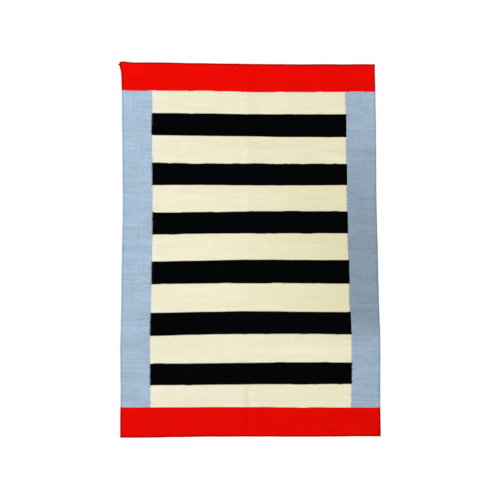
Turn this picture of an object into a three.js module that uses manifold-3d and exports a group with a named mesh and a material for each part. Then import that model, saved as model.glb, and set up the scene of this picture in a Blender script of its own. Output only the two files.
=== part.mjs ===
// A flat-woven wool rug that lies on the floor with its face up: one weft-faced cloth with a red
// band at each end, a pale blue border down each side and a field of cream and black stripes.
// The colours change where the yarn does, in one cloth, so they're colour alone and not relief.
// Millimetres, +Z up. +Y points to the end whose left corner is drawn out. The origin lies on the
// floor under the middle of the rug's bounding box.

import * as THREE from "three";
import { mergeVertices } from "three/addons/utils/BufferGeometryUtils.js";
import Module from "manifold-3d";

// Driving dimensions of the even rug, as it was meant to be woven
const LENGTH = 2000;
const WIDTH = 1378;
const BORDER = 160;
const CLOTH_THICKNESS = 5;
const HALF_WIDTH = WIDTH / 2;
const HALF_FIELD = HALF_WIDTH - BORDER;

// Yarn colours
const YARNS = { red: 0xe60d05, blue: 0x9db2c8, cream: 0xefe9cb, black: 0x050609 };

// Bands from the top end down, each with its height at the middle of the rug. The other columns
// say how far its upper line lies above a straight one, at the stations below.
const BANDS = [
  { yarn: "red", height: 149, left: 8, left_mid: 3.5, right_mid: -2, right: -2 },
  { yarn: "cream", height: 122, left: 8, left_mid: 6, right_mid: 0, right: 1 },
  { yarn: "black", height: 117, left: 6, left_mid: 4, right_mid: -1, right: -1 },
  { yarn: "cream", height: 148, left: 7, left_mid: 3, right_mid: -4, right: -4 },
  { yarn: "black", height: 115, left: 5, left_mid: 0, right_mid: -2, right: -1 },
  { yarn: "cream", height: 141, left: 2, left_mid: 2, right_mid: -1, right: 1 },
  { yarn: "black", height: 117, left: -6, left_mid: -5, right_mid: 1, right: -1 },
  { yarn: "cream", height: 143, left: -7, left_mid: -2, right_mid: 0, right: 0 },
  { yarn: "black", height: 124, left: -10, left_mid: -5, right_mid: -1, right: -2 },
  { yarn: "cream", height: 151, left: -5, left_mid: -1, right_mid: 1, right: -2 },
  { yarn: "black", height: 122, left: -10, left_mid: -5, right_mid: -3, right: -5 },
  { yarn: "cream", height: 155, left: -11, left_mid: -3, right_mid: 1, right: -2 },
  { yarn: "black", height: 115, left: -6, left_mid: -3, right_mid: 2, right: 1 },
  { yarn: "cream", height: 124, left: -5, left_mid: -3, right_mid: 1, right: 2 },
  { yarn: "red", height: 157, left: -2, left_mid: -1, right_mid: -2, right: -3 },
];
const BOTTOM_EDGE = { left: -6, left_mid: -1, right_mid: -1, right: 1 };
const BOW_STATIONS = [-HALF_FIELD, -HALF_FIELD / 2, 0, HALF_FIELD / 2, HALF_FIELD];

// Where the two edges and the two joins between border and field run, down the length
const SIDES = [
  { from_top: 0, left_edge: -687.7, left_join: -524, right_join: 514, right_edge: 673 },
  { from_top: 160, left_edge: -686, left_join: -524, right_join: 515, right_edge: 676 },
  { from_top: 420, left_edge: -683, left_join: -524, right_join: 519, right_edge: 679 },
  { from_top: 760, left_edge: -680, left_join: -521, right_join: 523, right_edge: 682 },
  { from_top: 1020, left_edge: -685, left_join: -524, right_join: 530, right_edge: 689 },
  { from_top: 1280, left_edge: -688, left_join: -530, right_join: 537, right_edge: 695 },
  { from_top: 1480, left_edge: -693, left_join: -535, right_join: 547, right_edge: 702 },
  { from_top: 1750, left_edge: -692, left_join: -533, right_join: 547, right_edge: 702 },
  { from_top: LENGTH, left_edge: -694, left_join: -532, right_join: 550, right_edge: 705 },
];
const SIDE_LINES = ["left_edge", "left_join", "right_join", "right_edge"];

// The top left corner is drawn out, and then cut off blunt
const CORNER_PULL = { left: 15, up: 8.5, reach: 40 };
const CORNER_CUT = { right: 15.5, down: 3, reach: 15 };

// Soft creases left by folding. Each is a ridge along one line of the even rug, from one end to
// the other, and fades out over its taper. before and after are the widths of its two flanks. The
// two short lengthwise ridges leave a valley between them that lies on the floor.
const CREASES = [
  { runs: "lengthwise", at: -9, from: -80, to: 1440, taper: 90, height: 1, before: 40, after: 45 },
  { runs: "lengthwise", at: -40, from: 1450, to: 2080, taper: 60, height: 1.4, before: 60, after: 34 },
  { runs: "lengthwise", at: 18, from: 1450, to: 2080, taper: 60, height: 0.8, before: 28, after: 90 },
  { runs: "crosswise", at: 484, from: 330, to: 780, taper: 160, height: 3.2, before: 34, after: 38 },
  { runs: "crosswise", at: 1512, from: -300, to: 780, taper: 300, height: 3.4, before: 70, after: 55 },
];

// The broad swell towards the right edge. Across the rug it rises from its start to its crest,
// and then the cloth falls to the edge, ever steeper. Down the rug it begins with a small step at
// the upper crosswise crease, rises to its full height, and ends at the lower one.
const SWELL_HEIGHT = 16;
const SWELL_ACROSS = { start: -450, crest: 250, fall_power: 1.9 };
const SWELL_STEP = { foot: 400, head: 470, share: 0.2 };
const SWELL_ALONG = { start: 430, full: 1165, wanes: 1300, foot: 1560 };

// The woven edge: its cord stands a little proud of the cloth, all round
const EDGE_ROUNDING = 1.5;
const EDGE_PROFILE = [
  { inset: EDGE_ROUNDING, thickness: 4.5 },
  { inset: 4.5, thickness: 5.7 },
  { inset: 8, thickness: 5.4 },
  { inset: 12, thickness: CLOTH_THICKNESS },
];

// The dark warp ends beside the blunt corner: two small knots, the cord between them, and frayed
// tips. The knots' places are measured from that corner.
const KNOT = { radius: 3.4, height: 6.4 };
const KNOT_PLACES = [
  { left: 12.5, down: 15.8 },
  { left: 6, down: 5.5 },
];
const CORD_WIDTH = 3;
const TIP = { reach: 6.5, width: 1.5 };
const TIP_WAYS = [
  { knot: 0, bearing: 235 },
  { knot: 0, bearing: 185 },
  { knot: 1, bearing: 110 },
];
const KNOT_PROFILE = [
  { radius_share: 0, height_share: 0 },
  { radius_share: 0.75, height_share: 0 },
  { radius_share: 1, height_share: 0.35 },
  { radius_share: 0.92, height_share: 0.66 },
  { radius_share: 0.5, height_share: 0.94 },
  { radius_share: 0, height_share: 1 },
];
const KNOT_SIDES = 12;

// How closely the cloth's mesh follows the shape, inside the edge cord. Two more lines each way
// follow the drawn-out corner.
const HALF_FLAT = HALF_WIDTH - EDGE_PROFILE.at(-1).inset;
const CORNER_LINES = [25, 46];
const COLUMN_RUNS = [
  { from: -HALF_FLAT, to: CORNER_LINES[0] - HALF_WIDTH, columns: 1 },
  { from: CORNER_LINES[0] - HALF_WIDTH, to: CORNER_LINES[1] - HALF_WIDTH, columns: 1 },
  { from: CORNER_LINES[1] - HALF_WIDTH, to: -HALF_FIELD, columns: 2 },
  { from: -HALF_FIELD, to: -80, columns: 5 },
  { from: -80, to: 55, columns: 9 },
  { from: 55, to: HALF_FIELD, columns: 9 },
  { from: HALF_FIELD, to: HALF_FLAT, columns: 4 },
];
const ROWS_PER_BAND = 2;
const CREASE_ROWS = [-1, -0.4, 0, 0.4, 1];
const LEAST_ROW_GAP = 10;

// Value between stations, on a smooth curve through them all
function smoothAt(places, values, at) {
  const last = places.length - 1;
  const slopeAt = (i) => {
    const before = Math.max(i - 1, 0);
    const after = Math.min(i + 1, last);
    return (values[after] - values[before]) / (places[after] - places[before]);
  };
  let i = 0;
  while (i < last - 1 && at > places[i + 1]) i += 1;
  const span = places[i + 1] - places[i];
  const u = THREE.MathUtils.clamp((at - places[i]) / span, 0, 1);
  const rise = u * u * (3 - 2 * u);
  const lead = u * (1 - u) * (1 - u) * slopeAt(i);
  const trail = u * u * (1 - u) * slopeAt(i + 1);
  return values[i] + (values[i + 1] - values[i]) * rise + span * (lead - trail);
}

// Value between stations, on straight lines
function straightAt(places, values, at) {
  let i = 0;
  while (i < places.length - 2 && at > places[i + 1]) i += 1;
  const u = (at - places[i]) / (places[i + 1] - places[i]);
  return THREE.MathUtils.lerp(values[i], values[i + 1], u);
}

// 0 at and before one place, 1 at and after the other, and a soft step between them
function softStep(zero, one, at) {
  const u = THREE.MathUtils.clamp((at - zero) / (one - zero), 0, 1);
  return u * u * (3 - 2 * u);
}

const bandTops = BANDS.map((_, i) => BANDS.slice(0, i).reduce((sum, band) => sum + band.height, 0));
const lineTops = [...bandTops, LENGTH];
const bowsOf = (row) => [row.left, row.left_mid, 0, row.right_mid, row.right];
const lineBows = [...BANDS, BOTTOM_EDGE].map(bowsOf);

// Where a point of the even rug lies on the floor. across runs from the middle to the right, and
// along from the top end down.
function placeAt(across, along) {
  const fromTop = SIDES.map((row) => row.from_top);
  const lines = SIDE_LINES.map((name) => smoothAt(fromTop, SIDES.map((row) => row[name]), along));
  const x = straightAt([-HALF_WIDTH, -HALF_FIELD, HALF_FIELD, HALF_WIDTH], lines, across);
  const bows = lineBows.map((bow) => smoothAt(BOW_STATIONS, bow, across));
  const y = LENGTH / 2 - along + straightAt(lineTops, bows, along);
  const fromCorner = Math.hypot(across + HALF_WIDTH, along);
  const [pull, cut] = [CORNER_PULL, CORNER_CUT].map((how) => Math.exp(-((fromCorner / how.reach) ** 2)));
  return new THREE.Vector2(
    x - CORNER_PULL.left * pull + CORNER_CUT.right * cut,
    y + CORNER_PULL.up * pull - CORNER_CUT.down * cut,
  );
}

// Height of the cloth's underside above the floor
function liftAt(across, along) {
  const creased = CREASES.map((crease) => {
    const lengthwise = crease.runs === "lengthwise";
    const pastCrest = (lengthwise ? across : along) - crease.at;
    const flank = pastCrest < 0 ? crease.before : crease.after;
    const run = lengthwise ? along : across;
    const there = softStep(crease.from, crease.from + crease.taper, run);
    const gone = softStep(crease.to - crease.taper, crease.to, run);
    return crease.height * softStep(flank, 0, Math.abs(pastCrest)) * there * (1 - gone);
  });
  const past = Math.max(across - SWELL_ACROSS.crest, 0) / (HALF_WIDTH - SWELL_ACROSS.crest);
  const fall = Math.min(past, 1) ** SWELL_ACROSS.fall_power;
  const over = softStep(SWELL_ACROSS.start, SWELL_ACROSS.crest, across) * (1 - fall);
  const step = SWELL_STEP.share * softStep(SWELL_STEP.foot, SWELL_STEP.head, along);
  const rise = (1 - SWELL_STEP.share) * softStep(SWELL_ALONG.start, SWELL_ALONG.full, along);
  const wane = softStep(SWELL_ALONG.wanes, SWELL_ALONG.foot, along);
  return SWELL_HEIGHT * over * (step + rise) * (1 - wane) + Math.max(...creased);
}

// Thickness of the cloth, with its edge cord
function thicknessAt(across, along) {
  const inset = Math.min(HALF_WIDTH - Math.abs(across), along, LENGTH - along);
  const insets = EDGE_PROFILE.map((row) => row.inset);
  const clamped = THREE.MathUtils.clamp(inset, insets[0], insets.at(-1));
  return straightAt(insets, EDGE_PROFILE.map((row) => row.thickness), clamped);
}

// Evenly spaced places from one to the other, without the last
function spread(from, to, steps) {
  return Array.from({ length: steps }, (_, i) => from + ((to - from) * i) / steps);
}

// The lines of the mesh across the rug: close at the edges and the crease, wide on the flat
function columnPlaces() {
  const insets = EDGE_PROFILE.slice(0, -1).map((row) => row.inset);
  return [
    ...insets.map((inset) => inset - HALF_WIDTH),
    ...COLUMN_RUNS.flatMap((run) => spread(run.from, run.to, run.columns)),
    HALF_FLAT,
    ...insets.map((inset) => HALF_WIDTH - inset).reverse(),
  ];
}

// The lines of the mesh down the rug: one where each band begins, and more on creases
function rowPlaces() {
  const insets = EDGE_PROFILE.slice(0, -1).map((row) => row.inset);
  const firstFlat = EDGE_PROFILE.at(-1).inset;
  const lastFlat = LENGTH - firstFlat;
  const onBands = BANDS.flatMap((band, i) => {
    const begins = Math.max(bandTops[i], firstFlat);
    return spread(begins, Math.min(bandTops[i] + band.height, lastFlat), ROWS_PER_BAND);
  });
  const onCreases = CREASES.filter((crease) => crease.runs === "crosswise").flatMap((crease) =>
    CREASE_ROWS.map((share) => crease.at + share * (share < 0 ? crease.before : crease.after)),
  );
  const clearOf = (places, place) => places.every((other) => Math.abs(other - place) > LEAST_ROW_GAP);
  const kept = [
    ...CORNER_LINES,
    ...onBands.filter((place) => bandTops.includes(place) || clearOf(onCreases, place)),
    ...onCreases.filter((place) => clearOf(bandTops, place)),
  ];
  return [
    ...insets,
    ...kept.sort((a, b) => a - b),
    lastFlat,
    ...insets.map((inset) => LENGTH - inset).reverse(),
  ];
}

// The yarn at a place of the even rug
function yarnAt(across, along) {
  const band = BANDS[lineTops.findLastIndex((top) => top <= along)];
  return band.yarn !== "red" && Math.abs(across) > HALF_FIELD ? "blue" : band.yarn;
}

// The cloth: its face and underside on one grid, and a rounded rim between them
function rugGeometry() {
  const columns = columnPlaces();
  const rows = rowPlaces();
  const pointAt = (across, along, share) => {
    const place = placeAt(across, along);
    const height = liftAt(across, along) + share * thicknessAt(across, along);
    return new THREE.Vector3(place.x, place.y, height);
  };
  const gridAt = (share) => rows.map((along) => columns.map((across) => pointAt(across, along, share)));
  const underside = gridAt(0);
  const face = gridAt(1);
  const positions = [];
  const colours = [];
  const addQuad = (a, b, c, d, yarn) => {
    const colour = new THREE.Color(YARNS[yarn]);
    [a, b, c, a, c, d].forEach((point) => {
      positions.push(point.x, point.y, point.z);
      colours.push(colour.r, colour.g, colour.b);
    });
  };
  for (let r = 0; r < rows.length - 1; r += 1) {
    for (let c = 0; c < columns.length - 1; c += 1) {
      const yarn = yarnAt((columns[c] + columns[c + 1]) / 2, (rows[r] + rows[r + 1]) / 2);
      addQuad(face[r + 1][c], face[r + 1][c + 1], face[r][c + 1], face[r][c], yarn);
      addQuad(underside[r][c], underside[r][c + 1], underside[r + 1][c + 1], underside[r + 1][c], yarn);
    }
  }
  const lastRow = rows.length - 1;
  const lastColumn = columns.length - 1;
  const rimAcross = [-HALF_WIDTH, ...columns.slice(1, -1), HALF_WIDTH];
  const rimAlong = [0, ...rows.slice(1, -1), LENGTH];
  const rim = [
    ...columns.slice(0, -1).map((_, c) => [lastRow, c]),
    ...rows.slice(1).map((_, i) => [lastRow - i, lastColumn]),
    ...columns.slice(1).map((_, i) => [0, lastColumn - i]),
    ...rows.slice(0, -1).map((_, r) => [r, 0]),
  ].map(([r, c]) => {
    const middle = pointAt(rimAcross[c], rimAlong[r], 0.5);
    return { low: underside[r][c], middle, high: face[r][c], yarn: yarnAt(columns[c], rows[r]) };
  });
  rim.forEach((here, i) => {
    const next = rim[(i + 1) % rim.length];
    addQuad(here.low, next.low, next.middle, here.middle, here.yarn);
    addQuad(here.middle, next.middle, next.high, here.high, here.yarn);
  });
  return new THREE.BufferGeometry()
    .setAttribute("position", new THREE.Float32BufferAttribute(positions, 3))
    .setAttribute("color", new THREE.Float32BufferAttribute(colours, 3));
}

const wasm = await Module();
wasm.setup();

function toSolid(geometry) {
  const bare = new THREE.BufferGeometry().setAttribute("position", geometry.getAttribute("position"));
  const merged = mergeVertices(geometry.index ? bare.setIndex(geometry.index) : bare, 1e-4);
  return new wasm.Manifold(
    new wasm.Mesh({
      numProp: 3,
      vertProperties: new Float32Array(merged.attributes.position.array),
      triVerts: new Uint32Array(merged.index.array),
    }),
  );
}

function toGeometry(solid) {
  const mesh = solid.getMesh();
  return new THREE.BufferGeometry()
    .setAttribute("position", new THREE.BufferAttribute(mesh.vertProperties, 3))
    .setIndex(new THREE.BufferAttribute(mesh.triVerts, 1));
}

// A square strand on the floor, from one place in a direction in radians
function strand(from, direction, length, width) {
  const box = new THREE.BoxGeometry(length, width, width).translate(length / 2, 0, width / 2);
  return toSolid(box.rotateZ(direction).translate(from.x, from.y, 0));
}

// The warp ends: two low beads with flat feet, and the cord and frayed tips fused to them, all on
// the floor, about the blunt corner
function tailGeometry() {
  const profile = KNOT_PROFILE.map(
    (row) => new THREE.Vector2(row.radius_share * KNOT.radius, row.height_share * KNOT.height),
  );
  const hearts = KNOT_PLACES.map((place) => new THREE.Vector2(-place.left, -place.down));
  const knots = hearts.map((heart) => {
    const bead = new THREE.LatheGeometry(profile, KNOT_SIDES).rotateX(Math.PI / 2);
    return toSolid(bead.translate(heart.x, heart.y, 0));
  });
  const between = hearts[1].clone().sub(hearts[0]);
  const cord = strand(hearts[0], between.angle(), between.length(), CORD_WIDTH);
  const tips = TIP_WAYS.map((way) =>
    strand(hearts[way.knot], THREE.MathUtils.degToRad(way.bearing), TIP.reach, TIP.width),
  );
  return toGeometry([...knots, cord, ...tips].reduce((sum, solid) => sum.add(solid)));
}

const cloth = new THREE.MeshStandardMaterial({ vertexColors: true, roughness: 0.95, metalness: 0 });
const darkYarn = new THREE.MeshStandardMaterial({ color: 0x4a1512, roughness: 0.95, metalness: 0 });

const rug = new THREE.Mesh(rugGeometry(), cloth);
rug.name = "rug";
rug.geometry.computeVertexNormals();

const tail = new THREE.Mesh(tailGeometry(), darkYarn);
tail.name = "corner_tail";
const bluntCorner = placeAt(-HALF_WIDTH, 0);
tail.position.set(bluntCorner.x, bluntCorner.y, 0);

const part = new THREE.Group();
part.add(rug, tail);
const middle = new THREE.Box3().setFromObject(part).getCenter(new THREE.Vector3());
part.position.set(-middle.x, -middle.y, 0);

export default part;
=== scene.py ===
# The looks of a flat-woven wool rug: its cloth, laid on its solid's folds, the weft and warp turns
# of its four edges, and the knotted warp ends at its blunt corner.
# Lengths are in metres. A place on the cloth is given as on the even rug that was meant to be
# woven: across, from the middle to the right, and along, from the top end down.
import math

import bpy
import numpy as np
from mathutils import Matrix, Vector, noise


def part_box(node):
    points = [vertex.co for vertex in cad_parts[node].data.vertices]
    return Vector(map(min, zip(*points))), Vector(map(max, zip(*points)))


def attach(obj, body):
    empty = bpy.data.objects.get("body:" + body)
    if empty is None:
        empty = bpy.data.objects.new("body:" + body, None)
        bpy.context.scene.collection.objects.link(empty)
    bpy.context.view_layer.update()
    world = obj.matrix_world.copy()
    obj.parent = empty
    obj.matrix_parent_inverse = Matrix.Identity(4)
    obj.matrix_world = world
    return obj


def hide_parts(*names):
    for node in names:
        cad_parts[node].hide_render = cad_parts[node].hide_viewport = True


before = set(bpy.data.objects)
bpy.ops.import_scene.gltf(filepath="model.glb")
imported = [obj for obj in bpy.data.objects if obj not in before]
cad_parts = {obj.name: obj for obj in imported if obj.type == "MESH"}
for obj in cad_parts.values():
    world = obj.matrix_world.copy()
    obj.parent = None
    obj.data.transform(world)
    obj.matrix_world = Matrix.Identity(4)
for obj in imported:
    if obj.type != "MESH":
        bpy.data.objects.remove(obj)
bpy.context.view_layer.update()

# Driving dimensions of the even rug
LENGTH = 2.0
WIDTH = 1.378
BORDER = 0.160
HALF_WIDTH = WIDTH / 2
HALF_FIELD = HALF_WIDTH - BORDER
CLOTH_THICKNESS = 0.005
WARP_PITCH = 0.0056
WEFT_PITCH = 0.0036

# Bands from the top end down, each with its height at the middle of the rug. The other columns
# say how far its upper line lies above a straight one, at the bow stations.
BAND_COLUMNS = ("yarn", "height", "left", "left_mid", "right_mid", "right")
BANDS = [
    dict(zip(BAND_COLUMNS, row))
    for row in (
        ("red", 0.149, 0.008, 0.0035, -0.002, -0.002),
        ("cream", 0.122, 0.008, 0.006, 0.000, 0.001),
        ("black", 0.117, 0.006, 0.004, -0.001, -0.001),
        ("cream", 0.148, 0.007, 0.003, -0.004, -0.004),
        ("black", 0.115, 0.005, 0.000, -0.002, -0.001),
        ("cream", 0.141, 0.002, 0.002, -0.001, 0.001),
        ("black", 0.117, -0.006, -0.005, 0.001, -0.001),
        ("cream", 0.143, -0.007, -0.002, 0.000, 0.000),
        ("black", 0.124, -0.010, -0.005, -0.001, -0.002),
        ("cream", 0.151, -0.005, -0.001, 0.001, -0.002),
        ("black", 0.122, -0.010, -0.005, -0.003, -0.005),
        ("cream", 0.155, -0.011, -0.003, 0.001, -0.002),
        ("black", 0.115, -0.006, -0.003, 0.002, 0.001),
        ("cream", 0.124, -0.005, -0.003, 0.001, 0.002),
        ("red", 0.157, -0.002, -0.001, -0.002, -0.003),
    )
]
BOTTOM_EDGE = dict(zip(BAND_COLUMNS[2:], (-0.006, -0.001, -0.001, 0.001)))
BOW_STATIONS = [-HALF_FIELD, -HALF_FIELD / 2, 0, HALF_FIELD / 2, HALF_FIELD]

# Where the two edges and the two joins between border and field run, down the length
SIDE_COLUMNS = ("from_top", "left_edge", "left_join", "right_join", "right_edge")
SIDES = [
    dict(zip(SIDE_COLUMNS, row))
    for row in (
        (0.000, -0.6877, -0.524, 0.514, 0.673),
        (0.160, -0.686, -0.524, 0.515, 0.676),
        (0.420, -0.683, -0.524, 0.519, 0.679),
        (0.760, -0.680, -0.521, 0.523, 0.682),
        (1.020, -0.685, -0.524, 0.530, 0.689),
        (1.280, -0.688, -0.530, 0.537, 0.695),
        (1.480, -0.693, -0.535, 0.547, 0.702),
        (1.750, -0.692, -0.533, 0.547, 0.702),
        (LENGTH, -0.694, -0.532, 0.550, 0.705),
    )
]

# The top left corner is drawn out, and then cut off blunt
CORNER_PULL = {"left": 0.015, "up": 0.0070, "reach": 0.040}
CORNER_CUT = {"right": 0.0135, "down": 0.0025, "reach": 0.015}

# Soft creases left by folding. Each is a ridge along one line of the even rug, from its start to
# its end, that fades out over its taper. before and after are the widths of its two flanks.
CREASE_COLUMNS = ("runs", "at", "start", "end", "taper", "height", "before", "after")
CREASES = [
    dict(zip(CREASE_COLUMNS, row))
    for row in (
        ("lengthwise", -0.009, -0.080, 1.440, 0.090, 0.0010, 0.040, 0.045),
        ("lengthwise", -0.040, 1.450, 2.080, 0.060, 0.0014, 0.060, 0.034),
        ("lengthwise", 0.018, 1.450, 2.080, 0.060, 0.0008, 0.028, 0.090),
        ("crosswise", 0.484, 0.330, 0.780, 0.160, 0.0032, 0.034, 0.038),
        ("crosswise", 1.512, -0.300, 0.780, 0.300, 0.0034, 0.070, 0.055),
    )
]

# The broad swell towards the right edge
SWELL_HEIGHT = 0.016
SWELL_ACROSS = {"start": -0.450, "crest": 0.250, "fall_power": 1.9}
SWELL_STEP = {"foot": 0.400, "head": 0.470, "share": 0.2}
SWELL_ALONG = {"start": 0.430, "full": 1.165, "wanes": 1.300, "foot": 1.560}

# The cloth's thickness beside an edge, as (inset, thickness), and its rounded rim, as
# (inset, share of the thickness), from the face down
EDGE_PROFILE = ((0.0010, 0.0038), (0.0024, 0.0046), (0.0042, 0.0049), (0.0062, 0.0049),
                (0.0086, 0.0049), (0.0120, CLOTH_THICKNESS))
RIM_PROFILE = ((0.0003, 0.80), (0.0000, 0.50), (0.0003, 0.20))
CELLS_ACROSS = 168
CELLS_ALONG = 246

# Small unevenness of a hand-woven cloth, as (size of a hump, how far it moves the cloth), and the
# seeds that keep it the same in each run
WAVER_IN_PLANE = ((0.095, 0.0010), (0.026, 0.0004))
WAVER_IN_HEIGHT = ((0.240, 0.0008), (0.070, 0.0003))
WAVER_SEEDS = {"x": 1.7, "y": 5.3, "z": 9.1}

# A yarn that turns round an edge, from the face to near the floor, as (inset, height, slant). Its
# fullness is its radius as a share of the pitch, so at over a half it meets the next yarn.
TURN_FULLNESS = 0.52
TURN_PATH = (
    (0.0124, 0.0038, 0.00),
    (0.0092, 0.0043, 0.06),
    (0.0060, 0.0047, 0.14),
    (0.0034, 0.0047, 0.28),
    (0.0013, 0.0040, 0.46),
    (0.0003, 0.0026, 0.66),
    (0.0009, 0.0014, 0.86),
    (0.0030, 0.0012, 1.00),
)
TURN_THICKNESS = 0.0022
TURN_STEPS = 13
TUBE_SIDES = 8

# The warp ends at the blunt corner: two small knots, as places from that corner, the cord
# between them, and frayed tips, as (knot, bearing, length, bend)
KNOT_PLACES = ((-0.0100, -0.0160), (-0.0038, -0.0046))
KNOT_REACH = 0.0043
KNOT_HEIGHT = 0.0074
KNOT_YARN = 0.0018
KNOT_STEPS = 49
CORD_YARN = 0.0023
CORD_TWISTS = 2.5
TIPS = ((0, 235, 0.0075, 0.2), (0, 185, 0.0070, -0.3), (1, 110, 0.0070, 0.3))
TIP_YARN = 0.0012
TIP_TWISTS = 1.5
TIP_TAPER = 0.6
TIP_STEPS = 12

# How the yarns are dyed, seen in even light, as hexadecimal sRGB, and two darker copies of the blue and the
# cream for painted shade
YARN_DYES = {
    "red": "ea0801",
    "blue": "a8bdd3",
    "shaded_blue": "8fa1b2",
    "cream": "f1ecd0",
    "shaded_cream": "ebe4be",
    "black": "010203",
    "warp": "3a1210",
}

# Streaks of the weft, as (humps a metre across, humps a metre along, weight), for the cream yarn.
# The others were dyed less evenly.
STREAKS = (
    (7.0, 120.0, 0.044),
    (5.0, 60.0, 0.058),
    (1.6, 13.0, 0.048),
    (30.0, 45.0, 0.034),
    (90.0, 3.0, 0.022),
)
BEAD_MOTTLE = 0.050
STREAK_STRENGTH = {"blue": 2.8, "red": 1.3, "warp": 2.0}

# Small flecks of the yarn. They begin at one value of a noise and are full at the other.
FLECKS = {"humps_across": 210.0, "humps_along": 520.0, "begin_at": 0.25, "full_at": 0.6}
NOISE_DETAIL = 2.0

# The lines between bands and beside the field, as laid by hand. JOIN_SHIFT says how far to the
# right of its line each join lies, beside stripes of each yarn.
LINE_WAVER = {"humps_across": 9.0, "humps_along": 2.0, "reach": 0.0022}
JOIN_WAVER = {"humps_along": 60.0, "reach": 0.0024}
JOIN_SHIFT = {"left": {"cream": 0.0033, "black": -0.0007}, "right": {"cream": -0.0011, "black": 0.0038}}
FUZZ = {"black": 0.0015, "red": 0.0024}

# Painted shade on the right: the blue and the cream are mixed with darker copies of their colours, a little
# from end to end, and most of it mid-way down. least is its least share there, and the others are places
# along the rug, or across it.
PAINTED_SHADE_ON_RIGHT = {"least": 0.30, "begins": (0.12, 0.95), "ends": (1.35, 1.53), "on_cream": (-0.60, 0.60)}

# A painted fall-off of the light: the yarns are painted lighter towards the top left corner, by a share for
# each metre
PAINTED_LIGHT_FALLOFF = {"across": 0.050, "along": 0.012, "along_more_if_dyed": 0.043}

# Relief and finish of the wool
RIB_DRIFT = {"humps_across": 5.0, "humps_along": 3.0, "reach": 0.0040}
BEAD_SLANT = 0.35
PLY_RELIEF = 0.10
# Painted shade on the yarns turned round the edges, full at full_at from their inner ends, for the red and
# the blue
EDGE_PAINTED_SHADE = {"red": 0.36, "blue": 0.13, "full_at": 0.005}
# Painted shade in the hollows of the weave and of the plied yarns, and how steeply it grows there
HOLLOW_SHADE = 0.2
HOLLOW_STEEPNESS = {"bead": 3.0, "yarn": 2.0}
ROUGHNESS = {"plain": 0.85, "more_on_flecks": 0.12}
WEAVE_RELIEF = 0.0009
YARN_RELIEF = 0.0003
TWIST_PITCH = 0.0030
WOOL_SHINE = {"Specular IOR Level": 0.02, "Sheen Weight": 0.01, "Sheen Roughness": 0.5}

# Studio
KEY = {"bearing": 206, "elevation": 30, "softness": 22, "strength": 4.1}
SURROUND = 0.45
FLOOR_REACH = 40.0
FLOOR_DROP = -0.0003
FLOOR_TONE = 0.05
FLOOR_GLOW = 0.97
CAMERA = {"lens": 70.0, "sensor": 36.0, "frame_width": 2.685, "centre": (0.0040, -0.0024)}


def linear(dye):
    """A hexadecimal sRGB colour as linear red, green, blue and alpha."""
    shares = [int(dye[i : i + 2], 16) / 255 for i in (0, 2, 4)]
    return (*(s / 12.92 if s <= 0.04045 else ((s + 0.055) / 1.055) ** 2.4 for s in shares), 1.0)


def soft_step(zero, one, at):
    """0 at and before one place, 1 at and after the other, and a soft step between them."""
    u = np.clip((np.asarray(at, float) - zero) / (one - zero), 0, 1)
    return u * u * (3 - 2 * u)


def smooth_at(places, values, at):
    """Value between stations, on a smooth curve through them all."""
    places, values, at = (np.asarray(x, float) for x in (places, values, at))
    last = len(places) - 1
    before = np.maximum(np.arange(last + 1) - 1, 0)
    after = np.minimum(np.arange(last + 1) + 1, last)
    slopes = (values[after] - values[before]) / (places[after] - places[before])
    i = np.clip(np.searchsorted(places, at) - 1, 0, last - 1)
    span = places[i + 1] - places[i]
    u = np.clip((at - places[i]) / span, 0, 1)
    rise = u * u * (3 - 2 * u)
    lead = u * (1 - u) ** 2 * slopes[i]
    trail = u * u * (1 - u) * slopes[i + 1]
    return values[i] + (values[i + 1] - values[i]) * rise + span * (lead - trail)


def between(places, rows, at):
    """Value between rows, of which each place has one, on straight lines."""
    places, rows = np.asarray(places, float), np.stack(rows)
    i = np.clip(np.searchsorted(places, at) - 1, 0, len(places) - 2)
    low, high = (np.take_along_axis(rows, j[None], axis=0)[0] for j in (i, i + 1))
    return low + (high - low) * (at - places[i]) / (places[i + 1] - places[i])


def waver(across, along, humps, seed):
    """Soft random unevenness, as a sum of humps of some sizes, the same in each run."""
    total = np.zeros(across.shape)
    for size, reach in humps:
        places = zip((across / size).ravel(), (along / size).ravel())
        total += reach * np.reshape([noise.noise((a, b, seed)) for a, b in places], across.shape)
    return total


def place_at(across, along):
    """Where points of the even rug lie on the floor, before the rug is centred."""
    from_top = [row["from_top"] for row in SIDES]
    lines = [smooth_at(from_top, [row[name] for row in SIDES], along) for name in SIDE_COLUMNS[1:]]
    x = between((-HALF_WIDTH, -HALF_FIELD, HALF_FIELD, HALF_WIDTH), lines, across)
    tops = np.cumsum([0] + [band["height"] for band in BANDS])
    bows = [
        smooth_at(BOW_STATIONS, (row["left"], row["left_mid"], 0, row["right_mid"], row["right"]), across)
        for row in (*BANDS, BOTTOM_EDGE)
    ]
    y = LENGTH / 2 - along + between(tops, bows, along)
    from_corner = np.hypot(across + HALF_WIDTH, along)
    pull, cut = (np.exp(-((from_corner / how["reach"]) ** 2)) for how in (CORNER_PULL, CORNER_CUT))
    x = x - CORNER_PULL["left"] * pull + CORNER_CUT["right"] * cut
    return x, y + CORNER_PULL["up"] * pull - CORNER_CUT["down"] * cut


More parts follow.
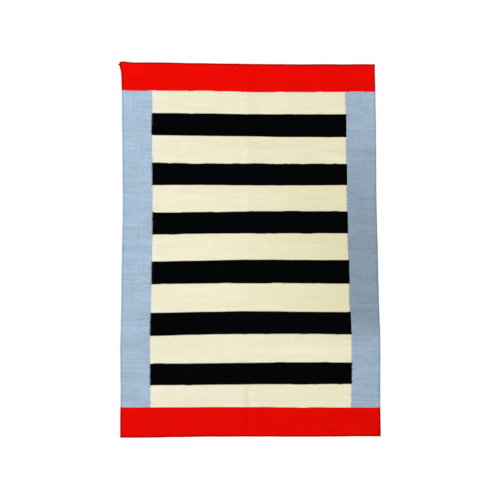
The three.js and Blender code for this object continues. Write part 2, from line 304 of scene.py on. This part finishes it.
def lift_at(across, along):
    """Height of the cloth's underside above the floor."""
    creased = np.zeros(across.shape)
    for crease in CREASES:
        beside, run = (across, along) if crease["runs"] == "lengthwise" else (along, across)
        there = soft_step(crease["start"], crease["start"] + crease["taper"], run)
        gone = soft_step(crease["end"] - crease["taper"], crease["end"], run)
        past_crest = beside - crease["at"]
        flank = np.where(past_crest < 0, crease["before"], crease["after"])
        ridge = 1 - soft_step(0, 1, np.abs(past_crest) / flank)
        creased = np.maximum(creased, crease["height"] * ridge * there * (1 - gone))
    past = np.clip((across - SWELL_ACROSS["crest"]) / (HALF_WIDTH - SWELL_ACROSS["crest"]), 0, 1)
    over = soft_step(SWELL_ACROSS["start"], SWELL_ACROSS["crest"], across)
    over = over * (1 - past ** SWELL_ACROSS["fall_power"])
    step = SWELL_STEP["share"] * soft_step(SWELL_STEP["foot"], SWELL_STEP["head"], along)
    rise = (1 - SWELL_STEP["share"]) * soft_step(SWELL_ALONG["start"], SWELL_ALONG["full"], along)
    wane = soft_step(SWELL_ALONG["wanes"], SWELL_ALONG["foot"], along)
    return SWELL_HEIGHT * over * (step + rise) * (1 - wane) + creased


def laid(across, along, height, wavering=True):
    """Points of the cloth where they lie, as rows of x, y and z. height is above the underside."""
    x, y = place_at(across, along)
    z = lift_at(across, along) + height
    if wavering:
        x = x + waver(across, along, WAVER_IN_PLANE, WAVER_SEEDS["x"])
        y = y + waver(across, along, WAVER_IN_PLANE, WAVER_SEEDS["y"])
        z = z + np.maximum(waver(across, along, WAVER_IN_HEIGHT, WAVER_SEEDS["z"]), 0)
    return np.stack([x, y, z], axis=-1)


def centring():
    """How far the laid cloth moves in x and y so that its outline is the solid's."""
    sides = np.linspace(0, LENGTH, CELLS_ALONG)
    ends = np.linspace(-HALF_WIDTH, HALF_WIDTH, CELLS_ACROSS)
    across = np.concatenate([np.full_like(sides, -HALF_WIDTH), np.full_like(sides, HALF_WIDTH), ends, ends])
    along = np.concatenate([sides, sides, np.zeros_like(ends), np.full_like(ends, LENGTH)])
    outline = laid(across, along, 0, wavering=False)
    low, high = (np.array(corner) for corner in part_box("rug"))
    shift = (low + high - outline.min(axis=0) - outline.max(axis=0)) / 2
    return np.array([shift[0], shift[1], 0])


CENTRING = centring()


def make_piece(name, points, faces, material, **coordinates):
    """A smooth mesh object. coordinates are vectors for the material, one for each point."""
    mesh = bpy.data.meshes.new(name)
    mesh.from_pydata(points.reshape(-1, 3).tolist(), [], faces)
    for label, vectors in coordinates.items():
        held = mesh.attributes.new(label, "FLOAT_VECTOR", "POINT")
        held.data.foreach_set("vector", np.asarray(vectors, np.float32).ravel())
    mesh.shade_smooth()
    mesh.materials.append(material)
    piece = bpy.data.objects.new(name, mesh)
    bpy.context.collection.objects.link(piece)
    return piece


def mesh_lines(start, end, cells):
    """The lines of the cloth's mesh in one direction: close by both edges, even between them."""
    insets = np.array([inset for inset, _ in EDGE_PROFILE])
    flat = np.linspace(start + insets[-1], end - insets[-1], cells + 1)
    return np.concatenate([start + insets[:-1], flat, end - insets[-2::-1]])


def thickness_at(across, along):
    """The cloth's thickness, with the cord under the turns of its edges."""
    inset = np.minimum(HALF_WIDTH - np.abs(across), np.minimum(along, LENGTH - along))
    return np.interp(inset, *zip(*EDGE_PROFILE))


def weave_places(across, along):
    """The weave attribute of points at these places on the even rug."""
    return np.stack([across, along, np.zeros(np.shape(across))], axis=-1)


def rim_line(across, along, inset):
    """The outermost line of the face, moved so that it lies inset from the rug's edge."""
    nearest = EDGE_PROFILE[0][0]
    beside = np.isclose(np.abs(across), HALF_WIDTH - nearest)
    across = np.where(beside, np.sign(across) * (HALF_WIDTH - inset), across)
    along = np.where(np.isclose(along, nearest), inset, along)
    return across, np.where(np.isclose(along, LENGTH - nearest), LENGTH - inset, along)


def rug_cloth(material):
    """The woven cloth, as one closed sheet: its face, its underside and a rounded rim."""
    columns = mesh_lines(-HALF_WIDTH, HALF_WIDTH, CELLS_ACROSS)
    rows = mesh_lines(0, LENGTH, CELLS_ALONG)
    across, along = (x.ravel() for x in np.meshgrid(columns, rows))
    thickness = thickness_at(across, along)
    layers = [(across, along, thickness), (across, along, 0 * thickness)]
    index = np.arange(across.size).reshape(len(rows), len(columns))
    outer_sides = [index[-1, :-1], index[:0:-1, -1], index[0, :0:-1], index[:-1, 0]]
    ring = np.concatenate(outer_sides)
    for inset, share in RIM_PROFILE:
        layers.append((*rim_line(across[ring], along[ring], inset), share * thickness[ring]))
    points = np.concatenate([laid(*layer) for layer in layers]) + CENTRING
    weave = np.concatenate([weave_places(*layer[:2]) for layer in layers])

    corners = [index[1:, :-1], index[1:, 1:], index[:-1, 1:], index[:-1, :-1]]
    face = np.stack(corners, axis=-1).reshape(-1, 4)
    first = 2 * across.size
    rim = first + np.arange(len(RIM_PROFILE) * len(ring)).reshape(len(RIM_PROFILE), -1)
    rings = [ring, *rim, ring + across.size]
    walls = [
        np.stack([high, low, np.roll(low, -1), np.roll(high, -1)], axis=-1)
        for high, low in zip(rings, rings[1:])
    ]
    faces = np.concatenate([face, face[:, ::-1] + across.size, *walls])
    return make_piece("rug_cloth", points, faces.tolist(), material, weave=weave)


def unit(vectors):
    """The same vectors, each with length 1."""
    return vectors / np.linalg.norm(vectors, axis=-1, keepdims=True)


def tubes(path, radius, flat, wide_towards):
    """Points, faces and yarn attribute of closed tubes, one for each row of path. They keep their
    full radius in the direction wide_towards, and flat is their share of it across that."""
    ahead = unit(np.gradient(path, axis=1))
    wide = unit(wide_towards - ahead * (ahead @ np.array(wide_towards))[..., None])
    narrow = flat * np.cross(ahead, wide)
    turn = np.linspace(0, 2 * math.pi, TUBE_SIDES, endpoint=False)
    ring = np.cos(turn)[:, None] * wide[:, :, None] + np.sin(turn)[:, None] * narrow[:, :, None]
    radius = np.broadcast_to(radius, path.shape[:2])[..., None, None]
    points = path[:, :, None] + radius * ring
    index = np.arange(points[..., 0].size).reshape(points.shape[:3])
    beside = np.roll(index, -1, axis=2)
    corners = [index[:, :-1], beside[:, :-1], beside[:, 1:], index[:, 1:]]
    walls = np.stack(corners, axis=-1).reshape(-1, 4)
    caps = np.concatenate([index[:, 0, ::-1], index[:, -1]])
    strides = np.linalg.norm(np.diff(path, axis=1, prepend=path[:, :1]), axis=-1)
    run = np.cumsum(strides, axis=1)[..., None]
    yarn = np.stack(np.broadcast_arrays(run, turn / (2 * math.pi), 0.0), axis=-1)
    return points.reshape(-1, 3), walls.tolist() + caps.tolist(), yarn.reshape(-1, 3)


def edge_turns(name, edge, pitch, material):
    """The yarns that turn round one edge of the cloth, side by side, in one joined mesh. The weave
    attribute is the same all over a yarn, so each yarn is of one colour."""
    run = LENGTH if edge in ("left", "right") else WIDTH
    radius = TURN_FULLNESS * pitch
    stations = range(len(TURN_PATH))
    steps = np.linspace(0, stations[-1], TURN_STEPS)
    insets, heights, slants = (smooth_at(stations, column, steps) for column in zip(*TURN_PATH))
    starts = np.arange(pitch / 2, run, pitch)[:, None]
    place = np.clip(starts + pitch * (slants - 0.5), radius, run - radius)
    inset, height, start = (np.broadcast_to(x, place.shape) for x in (insets, heights, starts))

    def on_rug(place, inset):
        return {
            "left": (inset - HALF_WIDTH, place),
            "right": (HALF_WIDTH - inset, place),
            "top": (place - HALF_WIDTH, inset),
            "bottom": (place - HALF_WIDTH, LENGTH - inset),
        }[edge]

    path = laid(*on_rug(place, inset), height) + CENTRING
    wide_towards = (0, 1, 0) if edge in ("left", "right") else (1, 0, 0)
    points, faces, yarn = tubes(path, radius, TURN_THICKNESS / 2 / radius, wide_towards)
    begins = weave_places(*on_rug(start, np.full_like(inset, TURN_PATH[0][0])))
    weave = np.repeat(begins.reshape(-1, 3), TUBE_SIDES, axis=0)
    return make_piece(name, points, faces, material, weave=weave, yarn=yarn)


def overhand_loops(heart):
    """The path of the yarn in a knot: a trefoil, whose plain curve reaches 3 units from its heart."""
    turn = np.linspace(0, 2 * math.pi, KNOT_STEPS)
    x = np.sin(turn) + 2 * np.sin(2 * turn)
    y = np.cos(turn) - 2 * np.cos(2 * turn)
    reach = (KNOT_REACH - KNOT_YARN) / 3
    z = -np.sin(3 * turn) * (KNOT_HEIGHT / 2 - KNOT_YARN)
    return heart + np.stack([reach * x, reach * y, z], axis=-1)


def plies(path, yarn, twists):
    """The paths of the two plies that twist round a path. yarn is the radius of both together."""
    ahead = unit(np.gradient(path, axis=0))
    beside = unit(np.cross(ahead, (0, 0, 1)))
    above = np.cross(beside, ahead)
    turn = (2 * math.pi * twists * np.linspace(0, 1, len(path)))[:, None]
    for start in (0, math.pi):
        yield path + yarn / 2 * (beside * np.cos(start + turn) + above * np.sin(start + turn))


def frayed_tip(heart, bearing, length, bend):
    """The path of a warp end from its knot down to the floor."""
    share = np.linspace(0, 1, TIP_STEPS)
    heading = math.radians(bearing) + bend * share
    path = np.cumsum(np.stack([np.cos(heading), np.sin(heading), 0 * share], axis=-1), axis=0)
    path *= length / TIP_STEPS
    path[:, 2] = (TIP_YARN - heart[2]) * (1 - (1 - share) ** 3)
    return heart + path


def joined(parts):
    """The points, faces and yarn attribute of several sets of tubes as one."""
    starts = np.cumsum([0] + [len(points) for points, _, _ in parts])
    faces = [
        [start + corner for corner in face]
        for start, (_, part_faces, _) in zip(starts, parts)
        for face in part_faces
    ]
    return np.concatenate([p for p, _, _ in parts]), faces, np.concatenate([y for _, _, y in parts])


def corner_knots(material):
    """The warp ends at the blunt corner: two small knots, the cord between them and their tips."""
    corner = np.array(place_at(np.array([-HALF_WIDTH]), np.array([0.0])))[:, 0] + CENTRING[:2]
    hearts = np.array([(*(corner + place), KNOT_HEIGHT / 2) for place in KNOT_PLACES])
    cord = hearts[0] + (hearts[1] - hearts[0]) * np.linspace(0, 1, KNOT_STEPS)[:, None]
    cord[:, 2] = CORD_YARN
    upright = (0.1, 0.2, 1.0)
    parts = [tubes(overhand_loops(heart)[None], KNOT_YARN, 1.0, upright) for heart in hearts]
    parts += [tubes(ply[None], CORD_YARN / 2, 1.0, upright) for ply in plies(cord, CORD_YARN, CORD_TWISTS)]
    tapered = TIP_YARN / 2 * np.linspace(1, TIP_TAPER, TIP_STEPS)
    for knot, *way in TIPS:
        tip = frayed_tip(hearts[knot], *way)
        parts += [tubes(ply[None], tapered, 1.0, upright) for ply in plies(tip, TIP_YARN, TIP_TWISTS)]
    points, faces, yarn = joined(parts)
    return make_piece("warp_end_knots", points, faces, material, yarn=yarn)


class Graph:
    """Adds nodes to one node tree. Each feed is a socket, or a plain value."""

    def __init__(self, tree):
        self.tree = tree

    def feed(self, socket, source):
        if isinstance(source, bpy.types.NodeSocket):
            self.tree.links.new(source, socket)
        else:
            socket.default_value = source

    def add(self, kind, feeds=(), **settings):
        made = self.tree.nodes.new(kind)
        for name, value in settings.items():
            setattr(made, name, value)
        for name, source in dict(feeds).items():
            self.feed(made.inputs[name], source)
        return made

    def math(self, operation, *sources):
        made = self.add("ShaderNodeMath", dict(enumerate(sources)), operation=operation)
        return made.outputs[0]

    def sum(self, *sources):
        total = sources[0]
        for source in sources[1:]:
            total = self.math("ADD", total, source)
        return total

    def product(self, *sources):
        total = sources[0]
        for source in sources[1:]:
            total = self.math("MULTIPLY", total, source)
        return total

    def split(self, vector):
        return self.add("ShaderNodeSeparateXYZ", {0: vector}).outputs[:]

    def joined(self, x, y):
        return self.add("ShaderNodeCombineXYZ", {0: x, 1: y}).outputs[0]

    def soft_step(self, at, zero, one):
        feeds = {"Value": at, "From Min": zero, "From Max": one}
        return self.add("ShaderNodeMapRange", feeds, interpolation_type="SMOOTHSTEP").outputs[0]

    def cloud(self, x, y):
        """Soft noise from -1 to 1, with humps about one unit of x and y in size."""
        feeds = {"Vector": self.joined(x, y), "Scale": 1.0, "Detail": NOISE_DETAIL}
        made = self.add("ShaderNodeTexNoise", feeds)
        return self.math("MULTIPLY_ADD", made.outputs["Fac"], 2.0, -1.0)

    def speck(self, x, y):
        """A random number from 0 to 1 for each pair of whole numbers."""
        feeds = {"Vector": self.joined(x, y)}
        return self.add("ShaderNodeTexWhiteNoise", feeds, noise_dimensions="3D").outputs["Value"]

    def tinted(self, share, first, second):
        made = self.add("ShaderNodeMix", {0: share, 6: first, 7: second}, data_type="RGBA")
        return made.outputs[2]

    def toned(self, colour, tone):
        return self.add("ShaderNodeVectorMath", {0: colour, "Scale": tone}, operation="SCALE").outputs[0]


def new_group(name, inputs, outputs):
    """A shader node group with its graph, its named input sockets and its output node."""
    tree = bpy.data.node_groups.new(name, "ShaderNodeTree")
    for label, kind in inputs.items():
        tree.interface.new_socket(name=label, in_out="INPUT", socket_type=kind)
    for label, kind in outputs.items():
        tree.interface.new_socket(name=label, in_out="OUTPUT", socket_type=kind)
    start = tree.nodes.new("NodeGroupInput")
    return tree, Graph(tree), start.outputs, tree.nodes.new("NodeGroupOutput")


def weft_faced_relief():
    """Domed beads of weft in ribs over the warps, each rib's beads half a pick from the next one's.
    Place is the middle of a bead, and Bead a random number for it."""
    tree, graph, given, result = new_group(
        "weft_faced_relief",
        {"Weave": "NodeSocketVector"},
        {
            "Height": "NodeSocketFloat",
            "Hollow": "NodeSocketFloat",
            "Bead": "NodeSocketFloat",
            "Place": "NodeSocketVector",
        },
    )
    across, along, _ = graph.split(given["Weave"])
    drift = graph.cloud(
        graph.product(across, RIB_DRIFT["humps_across"]),
        graph.product(along, RIB_DRIFT["humps_along"]),
    )
    rib = graph.math("DIVIDE", graph.math("MULTIPLY_ADD", drift, RIB_DRIFT["reach"], across), WARP_PITCH)
    rib_number = graph.math("FLOOR", rib)
    off_rib = graph.math("SUBTRACT", graph.math("FRACT", rib), 0.5)
    half_pick = graph.product(graph.math("FLOORED_MODULO", rib_number, 2.0), 0.5)
    slant = graph.product(off_rib, BEAD_SLANT)
    pick = graph.sum(graph.math("DIVIDE", along, WEFT_PITCH), half_pick, slant)
    off_pick = graph.math("SUBTRACT", graph.math("FRACT", pick), 0.5)
    domes = [graph.math("MULTIPLY_ADD", graph.product(off, off), -4.0, 1.0) for off in (off_rib, off_pick)]
    dome = graph.math("SQRT", graph.product(*domes))
    plies = graph.math("SINE", graph.product(graph.sum(off_rib, off_pick), 2 * math.pi))
    graph.feed(result.inputs["Height"], graph.math("MULTIPLY_ADD", plies, PLY_RELIEF, dome))
    hollow = graph.math("POWER", graph.math("SUBTRACT", 1.0, dome), HOLLOW_STEEPNESS["bead"])
    graph.feed(result.inputs["Hollow"], hollow)
    graph.feed(result.inputs["Bead"], graph.speck(rib_number, graph.math("FLOOR", pick)))
    middle = graph.joined(
        graph.math("MULTIPLY_ADD", off_rib, -WARP_PITCH, across),
        graph.math("MULTIPLY_ADD", graph.math("SUBTRACT", slant, off_pick), WEFT_PITCH, along),
    )
    graph.feed(result.inputs["Place"], middle)
    return tree


def plied_yarn_relief():
    """The twist of two plies round a yarn, from the run along it and the share of a turn round it."""
    tree, graph, given, result = new_group(
        "plied_yarn_relief",
        {"Yarn": "NodeSocketVector"},
        {"Height": "NodeSocketFloat", "Hollow": "NodeSocketFloat"},
    )
    run, around, _ = graph.split(given["Yarn"])
    phase = graph.sum(graph.math("DIVIDE", run, TWIST_PITCH), graph.product(around, 2.0))
    height = graph.math("SINE", graph.product(graph.math("FRACT", phase), math.pi))
    graph.feed(result.inputs["Height"], height)
    hollow = graph.math("POWER", graph.math("SUBTRACT", 1.0, height), HOLLOW_STEEPNESS["yarn"])
    graph.feed(result.inputs["Hollow"], hollow)
    return tree


def yarn_streaks():
    """Tone of hand-spun, hand-dyed weft, in streaks along the picks and the ribs, and its flecks."""
    tree, graph, given, result = new_group(
        "yarn_streaks",
        {"Weave": "NodeSocketVector", "Strength": "NodeSocketFloat"},
        {"Tone": "NodeSocketFloat", "Fleck": "NodeSocketFloat"},
    )
    across, along, _ = graph.split(given["Weave"])
    total = 0.0
    for per_metre_across, per_metre_along, weight in STREAKS:
        x, y = graph.product(across, per_metre_across), graph.product(along, per_metre_along)
        total = graph.math("MULTIPLY_ADD", graph.cloud(x, y), weight, total)
    graph.feed(result.inputs["Tone"], graph.math("MULTIPLY_ADD", total, given["Strength"], 1.0))
    flecks = graph.cloud(
        graph.product(across, FLECKS["humps_across"]),
        graph.product(along, FLECKS["humps_along"]),
    )
    fleck = graph.soft_step(flecks, FLECKS["begin_at"], FLECKS["full_at"])
    graph.feed(result.inputs["Fleck"], fleck)
    return tree


def woven_bands():
    """Where each yarn shows, by the middle of the bead: masks of red, blue and black, with cream
    where all three are 0. At the joins the picks of both sides turn round the same warp by turns."""
    tree, graph, given, result = new_group(
        "woven_bands",
        {"Place": "NodeSocketVector"},
        {"Red": "NodeSocketFloat", "Blue": "NodeSocketFloat", "Black": "NodeSocketFloat"},
    )
    across, along, _ = graph.split(given["Place"])
    uneven_line = graph.cloud(
        graph.product(across, LINE_WAVER["humps_across"]),
        graph.product(along, LINE_WAVER["humps_along"]),
    )
    level = graph.math("MULTIPLY_ADD", uneven_line, LINE_WAVER["reach"], along)
    uneven_join = graph.cloud(0.0, graph.product(along, JOIN_WAVER["humps_along"]))
    turn_by_turn = graph.math("SIGN", graph.math("SINE", graph.product(along, math.pi / WEFT_PITCH)))
    place = graph.sum(
        across,
        graph.product(turn_by_turn, WARP_PITCH / 4),
        graph.product(uneven_join, JOIN_WAVER["reach"]),
    )
    tops = np.cumsum([0] + [band["height"] for band in BANDS])

    def within(first, last):
        begun = graph.math("GREATER_THAN", level, float(first))
        return graph.math("SUBTRACT", begun, graph.math("GREATER_THAN", level, float(last)))

    black = graph.sum(*(
        within(top - FUZZ["black"], top + band["height"] + FUZZ["black"])
        for top, band in zip(tops, BANDS)
        if band["yarn"] == "black"
    ))
    body = within(tops[1] + FUZZ["red"], tops[-2] - FUZZ["red"])

    def join_at(line, shift):
        return graph.math("MULTIPLY_ADD", black, shift["black"] - shift["cream"], line + shift["cream"])

    border = graph.math(
        "MAXIMUM",
        graph.math("LESS_THAN", place, join_at(-HALF_FIELD, JOIN_SHIFT["left"])),
        graph.math("GREATER_THAN", place, join_at(HALF_FIELD, JOIN_SHIFT["right"])),
    )
    graph.feed(result.inputs["Red"], graph.math("SUBTRACT", 1.0, body))
    graph.feed(result.inputs["Blue"], graph.product(border, body))
    graph.feed(result.inputs["Black"], graph.product(black, graph.math("SUBTRACT", 1.0, border)))
    return tree


def painted_shading():
    """The share of painted shade in the blue and the cream, as darker copies of their colours, and the tone
    of a painted fall-off of the light, lighter towards the top left.
    """
    tree, graph, given, result = new_group(
        "painted_shading",
        {"Weave": "NodeSocketVector", "Blue": "NodeSocketFloat", "Red": "NodeSocketFloat"},
        {"Shaded Blue": "NodeSocketFloat", "Shaded Cream": "NodeSocketFloat", "Tone": "NodeSocketFloat"},
    )
    across, along, _ = graph.split(given["Weave"])
    mid_way = graph.product(
        graph.soft_step(along, *PAINTED_SHADE_ON_RIGHT["begins"]),
        graph.math("SUBTRACT", 1.0, graph.soft_step(along, *PAINTED_SHADE_ON_RIGHT["ends"])),
    )
    share = graph.math("MULTIPLY_ADD", mid_way, 1 - PAINTED_SHADE_ON_RIGHT["least"], PAINTED_SHADE_ON_RIGHT["least"])
    on_right = graph.math("GREATER_THAN", across, 0.0)
    graph.feed(result.inputs["Shaded Blue"], graph.product(on_right, share))
    on_cream = graph.soft_step(across, *PAINTED_SHADE_ON_RIGHT["on_cream"])
    graph.feed(result.inputs["Shaded Cream"], graph.product(on_cream, share))
    dyed = graph.sum(given["Blue"], given["Red"])
    falloff_along = graph.math("MULTIPLY_ADD", dyed, PAINTED_LIGHT_FALLOFF["along_more_if_dyed"], PAINTED_LIGHT_FALLOFF["along"])
    falloff_share = graph.sum(
        graph.product(across, PAINTED_LIGHT_FALLOFF["across"]),
        graph.product(graph.math("SUBTRACT", along, LENGTH / 2), falloff_along),
    )
    graph.feed(result.inputs["Tone"], graph.math("SUBTRACT", 1.0, falloff_share))
    return tree


def new_material(name):
    """A material with only its wool shader and output, and the graph of its nodes."""
    material = bpy.data.materials.new(name)
    material.use_nodes = True
    graph = Graph(material.node_tree)
    material.node_tree.nodes.clear()
    shader = graph.add("ShaderNodeBsdfPrincipled", WOOL_SHINE)
    output = graph.add("ShaderNodeOutputMaterial", {"Surface": shader.outputs[0]})
    output.is_active_output = True
    return material, graph, shader


def attribute(graph, name):
    """The vectors that the mesh holds under this name."""
    made = graph.add("ShaderNodeAttribute", attribute_name=name, attribute_type="GEOMETRY")
    return made.outputs["Vector"]


def use(graph, tree, feeds):
    """What a shared node group puts out for these feeds."""
    return graph.add("ShaderNodeGroup", feeds, node_tree=tree).outputs


def yarn_colour(graph, groups, weave, place, mottle):
    """The dyed yarns in their bands, with their streaks and flecks, painted shade towards the right, and
    painted light that is stronger towards the top left. place is the middle of the bead or yarn, and mottle
    is added to its tone."""
    bands = use(graph, groups["bands"], {"Place": place})
    strength = 1.0
    for band in ("Blue", "Red"):
        more = STREAK_STRENGTH[band.lower()] - 1
        strength = graph.math("MULTIPLY_ADD", bands[band], more, strength)
    streaks = use(graph, groups["streaks"], {"Weave": weave, "Strength": strength})
    tone = graph.math("MULTIPLY_ADD", mottle, strength, streaks["Tone"])
    # Painted shade towards the right, and painted light that is stronger towards the top left
    shading_paint = use(graph, groups["shading_paint"], {"Weave": weave, "Blue": bands["Blue"], "Red": bands["Red"]})
    dyes = {name: linear(dye) for name, dye in YARN_DYES.items()}
    cream = graph.tinted(shading_paint["Shaded Cream"], dyes["cream"], dyes["shaded_cream"])
    blue = graph.tinted(shading_paint["Shaded Blue"], dyes["blue"], dyes["shaded_blue"])
    colour = graph.tinted(bands["Blue"], cream, blue)
    for band in ("Red", "Black"):
        colour = graph.tinted(bands[band], colour, dyes[band.lower()])
    return graph.toned(colour, graph.product(tone, shading_paint["Tone"])), streaks["Fleck"]


def finish_wool(graph, shader, colour, fleck, surface, relief):
    """Feeds the shader: darker in the hollows by painted shade, rougher on the flecks, and raised by
    relief.
    """
    shade = graph.math("MULTIPLY_ADD", surface["Hollow"], -HOLLOW_SHADE, 1.0)
    graph.feed(shader.inputs["Base Color"], graph.toned(colour, shade))
    roughness = graph.math("MULTIPLY_ADD", fleck, ROUGHNESS["more_on_flecks"], ROUGHNESS["plain"])
    graph.feed(shader.inputs["Roughness"], roughness)
    bump = graph.add("ShaderNodeBump", {"Distance": relief, "Height": surface["Height"]})
    graph.feed(shader.inputs["Normal"], bump.outputs[0])


def cloth_wool(groups):
    """The rug's face and underside."""
    material, graph, shader = new_material("woven_wool")
    weave = attribute(graph, "weave")
    beads = use(graph, groups["relief"], {"Weave": weave})
    mottle = graph.math("MULTIPLY_ADD", beads["Bead"], BEAD_MOTTLE, -BEAD_MOTTLE / 2)
    colour, fleck = yarn_colour(graph, groups, weave, beads["Place"], mottle)
    finish_wool(graph, shader, colour, fleck, beads, WEAVE_RELIEF)
    return material


def turned_wool(groups):
    """The yarns that turn round the edges, with painted shade that gets darker from their inner ends
    outward to the rim. This shows more on the red."""
    material, graph, shader = new_material("turned_wool")
    weave, yarn = attribute(graph, "weave"), attribute(graph, "yarn")
    twist = use(graph, groups["twist"], {"Yarn": yarn})
    colour, fleck = yarn_colour(graph, groups, weave, weave, 0.0)
    bands = use(graph, groups["bands"], {"Place": weave})
    run, _, _ = graph.split(yarn)
    blue_less = EDGE_PAINTED_SHADE["blue"] - EDGE_PAINTED_SHADE["red"]
    full_shade = graph.math("MULTIPLY_ADD", bands["Blue"], blue_less, EDGE_PAINTED_SHADE["red"])
    shade = graph.product(full_shade, graph.soft_step(run, 0.0, EDGE_PAINTED_SHADE["full_at"]))
    colour = graph.toned(colour, graph.math("SUBTRACT", 1.0, shade))
    finish_wool(graph, shader, colour, fleck, twist, YARN_RELIEF)
    return material


def warp_end_wool(groups):
    """The dark knotted warp ends."""
    material, graph, shader = new_material("warp_ends")
    yarn = attribute(graph, "yarn")
    twist = use(graph, groups["twist"], {"Yarn": yarn})
    streaks = use(graph, groups["streaks"], {"Weave": yarn, "Strength": STREAK_STRENGTH["warp"]})
    colour = graph.toned(linear(YARN_DYES["warp"])[:3], streaks["Tone"])
    finish_wool(graph, shader, colour, streaks["Fleck"], twist, YARN_RELIEF)
    return material


def pale_floor():
    """A plain floor that shows as even white by its own glow, and so has no shadows."""
    mesh = bpy.data.meshes.new("floor")
    ways = ((-1, -1), (1, -1), (1, 1), (-1, 1))
    corners = [(x * FLOOR_REACH, y * FLOOR_REACH, FLOOR_DROP) for x, y in ways]
    mesh.from_pydata(corners, [], [(0, 1, 2, 3)])
    floor = bpy.data.objects.new("floor", mesh)
    bpy.context.collection.objects.link(floor)
    material = bpy.data.materials.new("floor_white")
    material.use_nodes = True
    shader = material.node_tree.nodes["Principled BSDF"]
    shader.inputs["Base Color"].default_value = (FLOOR_TONE, FLOOR_TONE, FLOOR_TONE, 1)
    shader.inputs["Roughness"].default_value = 1.0
    shader.inputs["Specular IOR Level"].default_value = 0.0
    shader.inputs["Emission Color"].default_value = (1, 1, 1, 1)
    shader.inputs["Emission Strength"].default_value = FLOOR_GLOW
    mesh.materials.append(material)


def key_light():
    """A soft, even key from far to the left and a little below."""
    lamp = bpy.data.lights.new("key_light", "SUN")
    lamp.energy = KEY["strength"]
    lamp.angle = math.radians(KEY["softness"])
    made = bpy.data.objects.new("key_light", lamp)
    bearing, elevation = math.radians(KEY["bearing"]), math.radians(KEY["elevation"])
    flat = math.cos(elevation)
    towards = Vector((flat * math.cos(bearing), flat * math.sin(bearing), math.sin(elevation)))
    made.rotation_euler = towards.to_track_quat("Z", "Y").to_euler()
    bpy.context.collection.objects.link(made)


def white_surround():
    """An even white world: a soft fill on the rug, and plain white where it is seen itself."""
    world = bpy.data.worlds.new("surround")
    bpy.context.scene.world = world
    world.use_nodes = True
    graph = Graph(world.node_tree)
    seen = graph.add("ShaderNodeLightPath").outputs["Is Camera Ray"]
    surround = world.node_tree.nodes["Background"]
    surround.inputs["Color"].default_value = (1, 1, 1, 1)
    graph.feed(surround.inputs["Strength"], graph.math("MAXIMUM", seen, SURROUND))


def studio():
    """The plain light of the photograph, shown without a film curve."""
    key_light()
    white_surround()
    bpy.context.scene.view_settings.view_transform = "Standard"


def camera():
    """The photograph's view, straight down."""
    lens = bpy.data.cameras.new("camera")
    lens.lens = CAMERA["lens"]
    lens.sensor_width = CAMERA["sensor"]
    made = bpy.data.objects.new("camera", lens)
    distance = CAMERA["frame_width"] * CAMERA["lens"] / CAMERA["sensor"]
    made.location = (CAMERA["centre"][0], CAMERA["centre"][1], distance)
    bpy.context.collection.objects.link(made)
    bpy.context.scene.camera = made


def dress_rug():
    """Makes the rug's pieces and says what each stands for."""
    groups = {
        "relief": weft_faced_relief(),
        "twist": plied_yarn_relief(),
        "streaks": yarn_streaks(),
        "bands": woven_bands(),
        "shading_paint": painted_shading(),
    }
    cloth = rug_cloth(cloth_wool(groups))
    turned = turned_wool(groups)
    edges = [
        edge_turns("left_selvedge", "left", WEFT_PITCH, turned),
        edge_turns("right_selvedge", "right", WEFT_PITCH, turned),
        edge_turns("top_end_turns", "top", WARP_PITCH, turned),
        edge_turns("bottom_end_turns", "bottom", WARP_PITCH, turned),
    ]
    knots = corner_knots(warp_end_wool(groups))
    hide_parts("rug")
    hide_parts("corner_tail")
    for piece in (cloth, *edges, knots):
        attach(piece, "root")


camera()
studio()
pale_floor()
dress_rug()
